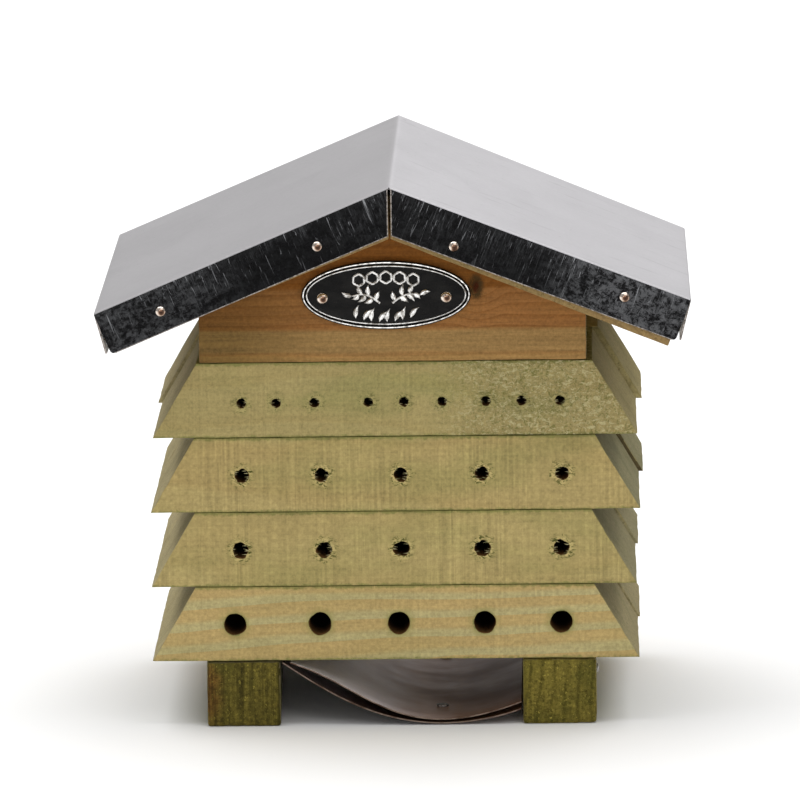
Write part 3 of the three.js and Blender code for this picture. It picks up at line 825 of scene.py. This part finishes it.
# ---- gables, attic rails, roof boards, runners ----
def make_gables():
    brown = dict(pale=(0.285, 0.13, 0.041), dark=(0.185, 0.072, 0.018), tint=(0.205, 0.11, 0.03), ring=2.6)
    foot = gable_low.z
    zones = [
        (foot - 3, foot + 2.6, (0.31, 0.19, 0.066), 0.75),
        (foot + 3.0, foot + 10.6, (0.29, 0.183, 0.068), 0.85),
        # painted shadow under the roof: the gable darkens towards its apex
        (foot + 24, foot + 50, (0.15, 0.047, 0.0025), 0.65),
    ]
    sides = [(AXIS_X - 50, AXIS_X - 2, (0.6, 0.6, 0.53))]
    knot = (AXIS_X + 27, foot + 24.0)
    face = timber(
        "pine_gable", seed=60, knot=knot, zones=zones, sides=sides, ring_share=0.6, pith=(0, 30, 40),
        patches=0.3, streak=1.0, **brown,
    )
    back = timber(
        "pine_gable_rear", seed=66, saw=0.1, ring_share=0.7, pith=(0, -30, 60), patches=0.4, **brown,
    )
    ends = timber(
        "pine_gable_ends", pale=(0.22, 0.17, 0.08), dark=(0.12, 0.085, 0.04), tint=(0.15, 0.14, 0.06),
        ring=2.6, ring_share=0.7, seed=63, end=True,
    )
    boards = (("gable_board", "gable_front", face, 61), ("gable_back", "gable_rear", back, 67))
    for name, node, look, seed in boards:
        low, high = box_mm(node)
        shoulder = low.z + GABLE_SIDE
        points = [(low.x, low.z), (high.x, low.z), (high.x, shoulder), (AXIS_X, high.z), (low.x, shoulder)]
        board = sawn_board(points, low, high, "x", (4, 6, 4), seed)
        board_faces(board, "x", 0.8)
        make(name, board, [look, ends], "gable_wood", node)
    for side, word in SIDES:
        low, high = box_mm(f"attic_rail_{word}")
        outer, inner = (low.x, high.x) if side < 0 else (high.x, low.x)
        shoulder = low.z + GABLE_SIDE
        points = [(outer, low.z), (outer, shoulder), (inner, high.z), (inner, low.z)]
        rail = sawn_board(points, low, high, "y", (4, 6, 4), 70 + side)
        board_faces(rail, "y")
        look = timber(
            f"pine_rail_{word}", pale=(0.32, 0.25, 0.105), dark=(0.22, 0.155, 0.06),
            tint=(0.2, 0.185, 0.065), grain="y", pith=(60, 0, 60), seed=71 + side, saw=0.2,
        )
        make(f"side_rail_{word}", rail, [look, ends], "gable_wood", f"attic_rail_{word}")


def slope_frame(side, angle):
    """Unit vectors in X-Z down a roof slope and square to it, into the house."""
    along = Vector((side * cos(angle), 0, -sin(angle)))
    inward = Vector((-side * sin(angle), 0, -cos(angle)))
    return along, inward


def make_roof_boards():
    apex = Vector((AXIS_X, 0, gable_high.z + (GAP + BOARD_THICK) / cos(BOARD_SLOPE)))
    plumb = GAP / 2 / cos(BOARD_SLOPE)
    mitre = BOARD_THICK * tan(BOARD_SLOPE)
    for side, word in SIDES:
        low, high = box_mm(f"roof_board_{word}")
        along, inward = slope_frame(side, BOARD_SLOPE)
        length = (high.x - low.x) / cos(BOARD_SLOPE) + plumb
        corners = ((plumb, 0), (length, 0), (length, BOARD_THICK), (plumb + mitre, BOARD_THICK))
        spots = [apex + along * a + inward * b for a, b in corners]
        board = sawn_board([(p.x, p.z) for p in spots], low, high, "y", (5, 8, 5), 80 + side)
        board_faces(board, "y")
        look = timber(
            f"pine_roof_{word}", pale=(0.30, 0.20, 0.085), dark=(0.21, 0.125, 0.045), seed=81 + side,
            tint=(0.2, 0.17, 0.06), grain="y", pith=(20 * side, 0, 60), saw=0.2, ring=3.6,
        )
        ends = timber(
            f"pine_roof_{word}_ends", pale=(0.27, 0.18, 0.075), dark=(0.17, 0.105, 0.04), seed=83 + side,
            tint=(0.17, 0.14, 0.05), grain="y", pith=(20 * side, 0, 60), end=True, ring=2.6,
        )
        make(f"roof_plank_{word}", board, [look, ends], "roof_board_wood", f"roof_board_{word}")


def make_runners():
    for side, word in SIDES:
        low, high = box_mm(f"runner_{word}")
        front_x, rear_x = high.x - RUNNER_WIDTH / 2, low.x + RUNNER_WIDTH / 2
        half = RUNNER_WIDTH / 2
        points = [(-half, low.z), (half, low.z), (half, high.z), (-half, high.z)]
        block = sawn_board(
            points, low, high, "y", (2.5, 6, 2.5), 90 + side, hollow=0.1, nicks=0.9, round_over=1.1,
        )
        for v in block.verts:
            v.co.x += front_x + (rear_x - front_x) * (v.co.y - low.y) / (high.y - low.y)
        cutter = bmesh.new()
        for place in ("front", "rear"):
            screw_low, screw_high = box_mm(f"runner_screw_{word}_{place}")
            centre = ((screw_low.x + screw_high.x) / 2, (screw_low.y + screw_high.y) / 2, 0)
            bore(cutter, centre, (0, 0, 1), SCREW_BORE, 2, 0.02, side)
        block = carve(block, cutter)
        board_faces(block, "y")
        # painted light: the right foot's colours are made lighter and the left foot's darker, as the light
        # falls from the right
        lit_level = 0.8 if side < 0 else 1.2
        sides = [(low.x + 9, low.x + 15, (1.15, 0.72, 0.85))] if side < 0 else []
        long_look = timber(
            f"pine_runner_{word}", pale=(0.20 * lit_level, 0.165 * lit_level, 0.062), seed=91 + side, saw=0.15,
            dark=(0.115 * lit_level, 0.095 * lit_level, 0.032), tint=(0.12, 0.125, 0.035), grain="y",
            pith=(-40 * side, 0, 30),
        )
        end_look = timber(
            f"pine_runner_{word}_ends", pale=(0.14 * lit_level, 0.112 * lit_level, 0.021 * lit_level),
            dark=(0.026 * lit_level, 0.022 * lit_level, 0.0032), tint=(0.05, 0.05, 0.008), grain="y",
            pith=(low.x + 150, 0, 5), ring=4.2, ring_share=0.5, seed=93 + side, end=True, patches=0.6,
            late_stops=SOFT_RINGS, specks=1.0, sides=sides, grit=2.2, streak=0.8,
            saw=0.9 if side < 0 else 0.4,
        )
        make(f"foot_{word}", block, [long_look, end_look, drilled], "runner_wood", f"runner_{word}")


# ---- the folded roof sheet ----
def settling(x, y):
    run = SHEET["length"] * cos(SHEET["slopes"][1])
    return SHEET["twist"] * max(0, x - AXIS_X) / run * (0.5 + y / SHEET["depth"])


def make_roof_sheet():
    bm = bmesh.new()
    apex = Vector((AXIS_X, 0, RIDGE_Z))
    fold, length, half_depth = SHEET["fold"], SHEET["length"], SHEET["depth"] / 2
    bend = pi / 2 - SHEET["flare"]
    tangent = fold * tan(bend / 2)
    flat_end = length - tangent
    near = [0, 0.35, 0.7, 1.05, 1.4, 2.2]
    columns = near + [2.2 + (flat_end - 2.2) * k / 26 for k in range(1, 27)]
    flat_y = half_depth - fold
    rows = [flat_y * (2 * k / 32 - 1) for k in range(33)]
    arcs = 5
    drops = [fold * (1 - cos(pi / 2 * k / arcs)) for k in range(1, arcs + 1)]
    outs = [fold * sin(pi / 2 * k / arcs) for k in range(1, arcs + 1)]
    hang_steps = 9
    for k in range(1, hang_steps + 1):
        drops.append(fold + (SHEET["flap"] - RAW_EDGE - fold) * sin(pi / 2 * (k / hang_steps)) ** 0.9)
        outs.append(fold)
    drops.append(SHEET["flap"])
    outs.append(fold)

    def ripple(point, depth):
        """A shallow, uneven dent of the thin sheet."""
        place = Vector((point.x * 0.035, point.y * 0.04, point.z * 0.06 + 5))
        return depth * (0.5 + 0.5 * noise.noise(place))

    def zone(row, last, cut=False):
        """The material: 0 on the slope and its bend, 2 on a sheared edge, 1 between them."""
        return 0 if row < arcs - 1 else 2 if row == last or cut else 1

    for side in (-1, 1):
        along, inward = slope_frame(side, SHEET["slopes"][side])
        slant = tan(SHEET["slopes"][side])

        def spot(distance, depth, y):
            return apex + along * distance + inward * depth + Vector((0, y, 0))

        def add(point):
            return bm.verts.new(point)

        skin = []
        for y in rows:
            line = []
            for s in columns:
                point = spot(s, 0, y)
                h = s * cos(SHEET["slopes"][side])
                if h < 1.4:
                    point.z -= slant * (1.4 - h) ** 2 / 2.8
                margin = min(1, s / 6) * min(1, (flat_end - s) / 6) * min(1, (flat_y - abs(y)) / 6)
                point += inward * ripple(point, 0.22) * margin
                line.append(add(point))
            skin.append(line)

        def patch(grid, flip, pick):
            for row, (a, b) in enumerate(zip(grid, grid[1:])):
                for i in range(len(a) - 1):
                    quad = (a[i], a[i + 1], b[i + 1], b[i])
                    face = bm.faces.new(quad if flip else quad[::-1])
                    face.material_index = pick(row, i)

        patch(skin, side > 0, lambda row, column: 0)
        for end in (-1, 1):
            edge = skin[0] if end < 0 else skin[-1]
            grid = [edge]
            for drop, out in zip(drops, outs):
                start = SHEET["slot"] * min(1, drop / fold) + drop * slant
                stop = length - tangent * (1 - min(1, drop / fold)) ** 2
                corner = SHEET["corner"]
                low = drop - (SHEET["flap"] - corner)
                if low > 0:
                    stop -= corner - sqrt(max(0, corner * corner - low * low))
                line = []
                for s in columns:
                    distance = start + (stop - start) * s / flat_end
                    point = spot(distance, drop, end * (flat_y + out))
                    point.y -= end * ripple(point, 0.35) * max(0, drop - fold) / SHEET["flap"]
                    line.append(add(point))
                grid.append(line)
            turned = (side > 0) == (end > 0)
            last = len(grid) - 2
            patch(grid, turned, lambda row, column: zone(row, last, not column))
        hang = along * cos(bend) + inward * sin(bend)
        strips = [[line[-1] for line in skin]]
        for k in range(1, arcs + 1):
            a = bend * k / arcs
            offset = along * (fold * sin(a)) + inward * (fold * (1 - cos(a)))
            strips.append([add(spot(flat_end, 0, y) + offset) for y in rows])
        knee = along * (fold * sin(bend)) + inward * (fold * (1 - cos(bend)))
        flange = SHEET["flange"] - tangent
        for reach in [(flange - RAW_EDGE) * k / 6 for k in range(1, 7)] + [flange]:
            line = []
            for y in rows:
                point = spot(flat_end, 0, y) + knee + hang * reach
                push = ripple(point, 0.4) * reach / flange
                line.append(add(point - Vector((side * push, 0, 0))))
            strips.append(line)
        last = len(strips) - 2
        patch(strips, side < 0, lambda row, column: zone(row, last))
    bmesh.ops.remove_doubles(bm, verts=bm.verts, dist=0.02)
    for v in bm.verts:
        v.co.z -= settling(v.co.x, v.co.y)
    edge = edge_metal()
    looks = [roof_metal(), flap_metal(), edge, edge]
    bm.normal_update()
    make("folded_roof", bm, looks, "roof_sheet_metal", "roof_sheet", sharp=40, solid=SHEET["thick"])


# ---- belly sheets ----
def bezier(controls, t):
    a, b, c, d = (Vector((x, 0, z)) for x, z in controls)
    u = 1 - t
    return a * u ** 3 + b * 3 * u * u * t + c * 3 * u * t * t + d * t ** 3


def make_belly():
    # painted light and reflection: the inner leaf is painted almost white on the left, lighter than the
    # sheet, against the shade under the body, and dark brown on the right as a painted reflection of the
    # wood
    violet = belly_metal(
        "belly_zinc",
        (0.0, (0.98, 0.9, 0.92)), (0.42, (0.94, 0.83, 0.83)), (0.6, (0.68, 0.5, 0.43)),
        (0.76, (0.3, 0.14, 0.06)), (1.0, (0.15, 0.05, 0.01)),
    )
    # painted shade and reflection: the outer leaf is painted dark brown, as the shade in the gap and the
    # wood it mirrors
    brown = belly_metal(
        "belly_zinc_outer",
        (0.0, (0.06, 0.035, 0.025)), (0.5, (0.06, 0.03, 0.018)), (1.0, (0.28, 0.14, 0.07)),
    )
    edge = belly_edge_metal()
    steps, rows = 60, 16
    for word, controls in BELLY_CURVES.items():
        low, high = box_mm(f"belly_sheet_{word}")
        bm = bmesh.new()
        grid = []
        for k in range(steps + 1):
            t = k / steps
            point = bezier(controls, t)
            slope = bezier(controls, min(1, t + 0.01)) - bezier(controls, max(0, t - 0.01))
            up = Vector((-slope.z, 0, slope.x)).normalized() * (BELLY_THICK / 2)
            line = []
            for j in range(rows + 1):
                y = low.y + (high.y - low.y) * j / rows
                if word == "outer" and k > steps - 4:
                    y *= 1 - 0.014 * (k - steps + 4) ** 2 / 16
                place = point + up + Vector((AXIS_X, y, 0))
                line.append(bm.verts.new(place))
            grid.append(line)
        for a, b in zip(grid, grid[1:]):
            for j in range(rows):
                bm.faces.new((a[j], b[j], b[j + 1], a[j + 1]))
        bm.normal_update()
        looks = [brown if word == "outer" else violet, edge]
        make(f"belly_leaf_{word}", bm, looks, "belly_sheet_metal", f"belly_sheet_{word}", solid=BELLY_THICK)


# ---- badge ----
def bead(bm, path, widths, base, height, closed=False, index=0):
    """A raised, rounded bead along a path in X-Z, with a width for each of its points."""
    across = 6
    rings = []
    for k, (x, z) in enumerate(path):
        before = path[k - 1] if k or closed else path[k]
        after = path[(k + 1) % len(path)] if k + 1 < len(path) or closed else path[k]
        run = Vector((after[0] - before[0], after[1] - before[1])).normalized()
        ring = []
        for j in range(across + 1):
            a = pi * j / across
            reach = -cos(a) * widths[k] / 2
            rise = height * sin(a) * min(1, 0.35 + widths[k])
            ring.append(bm.verts.new((x - run.y * reach, base - rise, z + run.x * reach)))
        rings.append(ring)
    loops = list(zip(rings, rings[1:])) + ([(rings[-1], rings[0])] if closed else [])
    faces = []
    for a, b in loops:
        for j in range(across + 1):
            i = (j + 1) % (across + 1)
            faces.append(bm.faces.new((a[j], a[i], b[i], b[j])))
    if not closed:
        faces += [bm.faces.new(rings[0]), bm.faces.new(rings[-1])]
    for face in faces:
        face.material_index = index
    bmesh.ops.recalc_face_normals(bm, faces=faces)


def leaf(bm, root, angle, length, width, base, height):
    steps = 8
    path, widths = [], []
    for k in range(steps + 1):
        t = k / steps
        bow = 0.12 * length * sin(pi * t)
        path.append((
            root[0] + cos(angle) * length * t - sin(angle) * bow,
            root[1] + sin(angle) * length * t + cos(angle) * bow,
        ))
        widths.append(max(0.12, width * sin(pi * t ** 0.8)))
    bead(bm, path, widths, base, height)


BADGE_PROFILE = (                              # inset from the outline, distance behind the front
    (0, 0.45), (0.12, 0.16), (0.4, 0.02), (0.75, 0.0), (1.0, 0.12), (1.12, 0.42), (1.25, 0.5), (1.38, 0.3),
    (1.6, 0.14), (1.85, 0.2), (2.0, 0.5), (2.08, 0.86), (2.3, 0.9),
)
SPRIG = (                                      # place on the stem, direction, length
    (1, 1.9, 2.6), (3, 1.5, 3.0), (5, 1.1, 2.8), (2, -0.5, 2.6), (4, -0.7, 2.8), (6, -0.6, 2.3),
    (8, 0.35, 2.9),
)


def badge_plate(cx, cz, front, back):
    half_w, half_h = BADGE["width"] / 2, BADGE["height"] / 2
    depth = back - front
    sides = 128
    turns = [2 * pi * i / sides for i in range(sides)]
    bm = bmesh.new()

    def ring(inset, behind, share=1.0):
        wide, high = (half_w - inset) * share, (half_h - inset) * share
        return [bm.verts.new((cx + wide * cos(a), front + behind, cz + high * sin(a))) for a in turns]

    rings = [ring(*station) for station in ((0.25, depth), (0.05, depth - 0.15), *BADGE_PROFILE)]
    rings += [ring(*BADGE_PROFILE[-1], share) for share in (0.86, 0.66, 0.4)]
    for k, (a, b) in enumerate(zip(rings, rings[1:])):
        for i in range(sides):
            j = (i + 1) % sides
            # painted reflection: rim flanks and groove take the dark field finish
            bm.faces.new((a[i], a[j], b[j], b[i])).material_index = 0 if k in BRIGHT_RINGS else 1
    bm.faces.new(rings[-1]).material_index = 1
    bm.faces.new(rings[0])
    bmesh.ops.recalc_face_normals(bm, faces=bm.faces)
    return bm


def badge_relief(bm, cx, cz, base):
    """A row of cells, two sprigs that face each other, and a row of small leaves below them."""
    rise = 0.62
    for k in range(-2, 3):
        x = cx + k * 4.35
        z = cz + 5.7 - 0.2 * k ** 2
        corners = [(x + 2.0 * sin(pi / 3 * i), z + 2.0 * cos(pi / 3 * i)) for i in range(6)]
        path = []
        for a, b in zip(corners, corners[1:] + corners[:1]):
            path += [(a[0] + (b[0] - a[0]) * s, a[1] + (b[1] - a[1]) * s) for s in (0.12, 0.5, 0.88)]
        bead(bm, path, [1.0] * len(path), base, rise, closed=True)
    for side in (-1, 1):
        stem = []
        for i in range(9):
            t = i / 8
            stem.append((cx + side * (2.0 + 8.8 * t), cz - 2.6 + 2.4 * t + 1.5 * sin(pi * t)))
        bead(bm, stem, [1.1 - 0.05 * i for i in range(9)], base, rise)
        for at, turn, size in SPRIG:
            leaf(bm, stem[at], turn if side > 0 else pi - turn, size * 1.25, 1.75, base, rise)
    for k in range(8):
        x = cx + (k - 3.5) * 2.5
        z = cz - 7.5 + 0.1 * (k - 3.5) ** 2
        leaf(bm, (x - 1.0, z - 1.2), 0.9 if k % 2 else 1.35, 4.4, 1.75, base, rise)


def make_badge():
    low, high = box_mm("badge")
    cx, cz = (low.x + high.x) / 2, (low.z + high.z) / 2
    bm = badge_plate(cx, cz, low.y, high.y)
    badge_relief(bm, cx, cz, low.y + BADGE_PROFILE[-1][1] + 0.03)
    make("oval_badge", bm, [rim_metal(), field_metal()], "badge_metal", "badge", sharp=30)


# ---- pins ----
def make_pin(name, node, look, slot, domed=True):
    """A tapered nail with a dome on the end that faces away from the middle of the timber."""
    low, high = box_mm(node)
    sizes = high - low
    axis = max(range(3), key=lambda i: sizes[i])
    centre = (low + high) / 2
    head = max(size for i, size in enumerate(sizes) if i != axis) / 2
    outward = Vector((0, 0, 0))
    outward[axis] = 1 if centre[axis] > 0 else -1
    rise = head * (DOME_RISE if domed else FLAT_RISE)
    root = rise - sizes[axis]
    shank = [(0, root), (0.16 * head, root + 0.7), (0.4 * head, root + 1.6), (0.4 * head, 0)]
    crown = [(head * sin(a), rise * cos(a)) for a in [pi / 2 * k / 8 for k in range(8, 0, -1)]]
    bm = lathe(shank + [(head * 0.97, 0)] + crown + [(0, rise)])
    turn = Vector((0, 0, 1)).rotation_difference(outward)
    seat = centre.copy()
    seat[axis] = (high if outward[axis] > 0 else low)[axis] - outward[axis] * rise
    bmesh.ops.transform(bm, matrix=Matrix.Translation(seat) @ turn.to_matrix().to_4x4(), verts=bm.verts)
    make(name, bm, [look], slot, node, sharp=50)


def make_pins(steel):
    front = {f"dome_front_{k}": f"flap_pin_front_{k}" for k in range(1, 5)}
    rear = {f"dome_rear_{k}": f"flap_pin_rear_{k}" for k in range(1, 5)}
    badge = {f"badge_dome_{word}": f"badge_pin_{word}" for word in ("left", "right")}
    heads = []
    for node in (*front.values(), *badge.values(), *rear.values()):
        low, high = box_mm(node)
        heads.append(((low.x + high.x) / 2 + GLINT_SHIFT[0], (low.z + high.z) / 2 + GLINT_SHIFT[1]))
    copper = copper_metal(heads)
    for name, node in {**front, **rear, **badge}.items():
        make_pin(name, node, copper, "copper_pin")
    make_pin("side_dome", "runner_side_pin", steel, "steel_fastener", domed=False)


make_layers()
make_gables()
make_roof_boards()
make_runners()
make_roof_sheet()
make_belly()
make_badge()
steel = steel_metal()
make_pins(steel)
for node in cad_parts.values():
    if not node.hide_render:
        node.data.materials.clear()
        node.data.materials.append(steel)


# ---- floor, light and camera, in metres ----
FLOOR_REACH = 14
WORLD_STRENGTH = 0.34
SOFTBOXES = (                                  # name, place, aim, size, watts
    ("front_box", (0.8, -2.2, 1.7), (0, 0, 0.09), (2.0, 1.4), 12),
    ("low_box", (0.1, -2.5, 0.35), (0, 0, 0.04), (1.8, 0.55), 10.5),
    ("top_box", (-0.3, 0.7, 2.4), (-0.3, 0.7, 0.1), (3.6, 3.4), 100),
)
LENS, FILM = 410.1, 36                         # millimetres
CAMERA_PLACE = (0.06178, -2.93781, 0.59827)
CAMERA_AIM = Vector((-0.0206, 0.98549, -0.16848))
CAMERA_ROLL = radians(-0.779)


def make_floor():
    look = Look("pale_floor")
    mottle = look.noise(0.002, 1, 2.0)
    look.color = look.blend(mottle, (0.90, 0.90, 0.90), (0.93, 0.93, 0.93))
    material = look.finish(mottle, 0.85, 0.95, specular=0.1)
    mesh = bpy.data.meshes.new("floor")
    corners = [(x * FLOOR_REACH, y * FLOOR_REACH, 0) for x, y in ((-1, -1), (1, -1), (1, 1), (-1, 1))]
    mesh.from_pydata(corners, [], [(0, 1, 2, 3)])
    mesh.materials.append(material)
    floor_piece = linked("floor", mesh)


def put(item, place, rotation):
    item.location = place
    item.rotation_mode = "QUATERNION"
    item.rotation_quaternion = rotation


def softbox(name, place, aim, size, power):
    light = bpy.data.lights.new(name, "AREA")
    light.shape = "RECTANGLE"
    light.size, light.size_y = size
    light.energy = power
    put(linked(name, light), place, (Vector(aim) - Vector(place)).to_track_quat("-Z", "Y"))


def make_light():
    world = bpy.data.worlds.new("studio")
    world.use_nodes = True
    background = world.node_tree.nodes["Background"]
    background.inputs["Color"].default_value = (1, 1, 1, 1)
    background.inputs["Strength"].default_value = WORLD_STRENGTH
    bpy.context.scene.world = world
    for box in SOFTBOXES:
        softbox(*box)
    bpy.context.scene.view_settings.view_transform = "Standard"


def make_camera():
    camera_data = bpy.data.cameras.new("camera")
    camera_data.lens = LENS
    camera_data.sensor_width = FILM
    camera_data.clip_start, camera_data.clip_end = 0.1, 50
    camera = linked("camera", camera_data)
    put(camera, CAMERA_PLACE, CAMERA_AIM.to_track_quat("-Z", "Y") @ Quaternion((0, 0, 1), CAMERA_ROLL))
    bpy.context.scene.camera = camera


make_floor()
make_light()
make_camera()
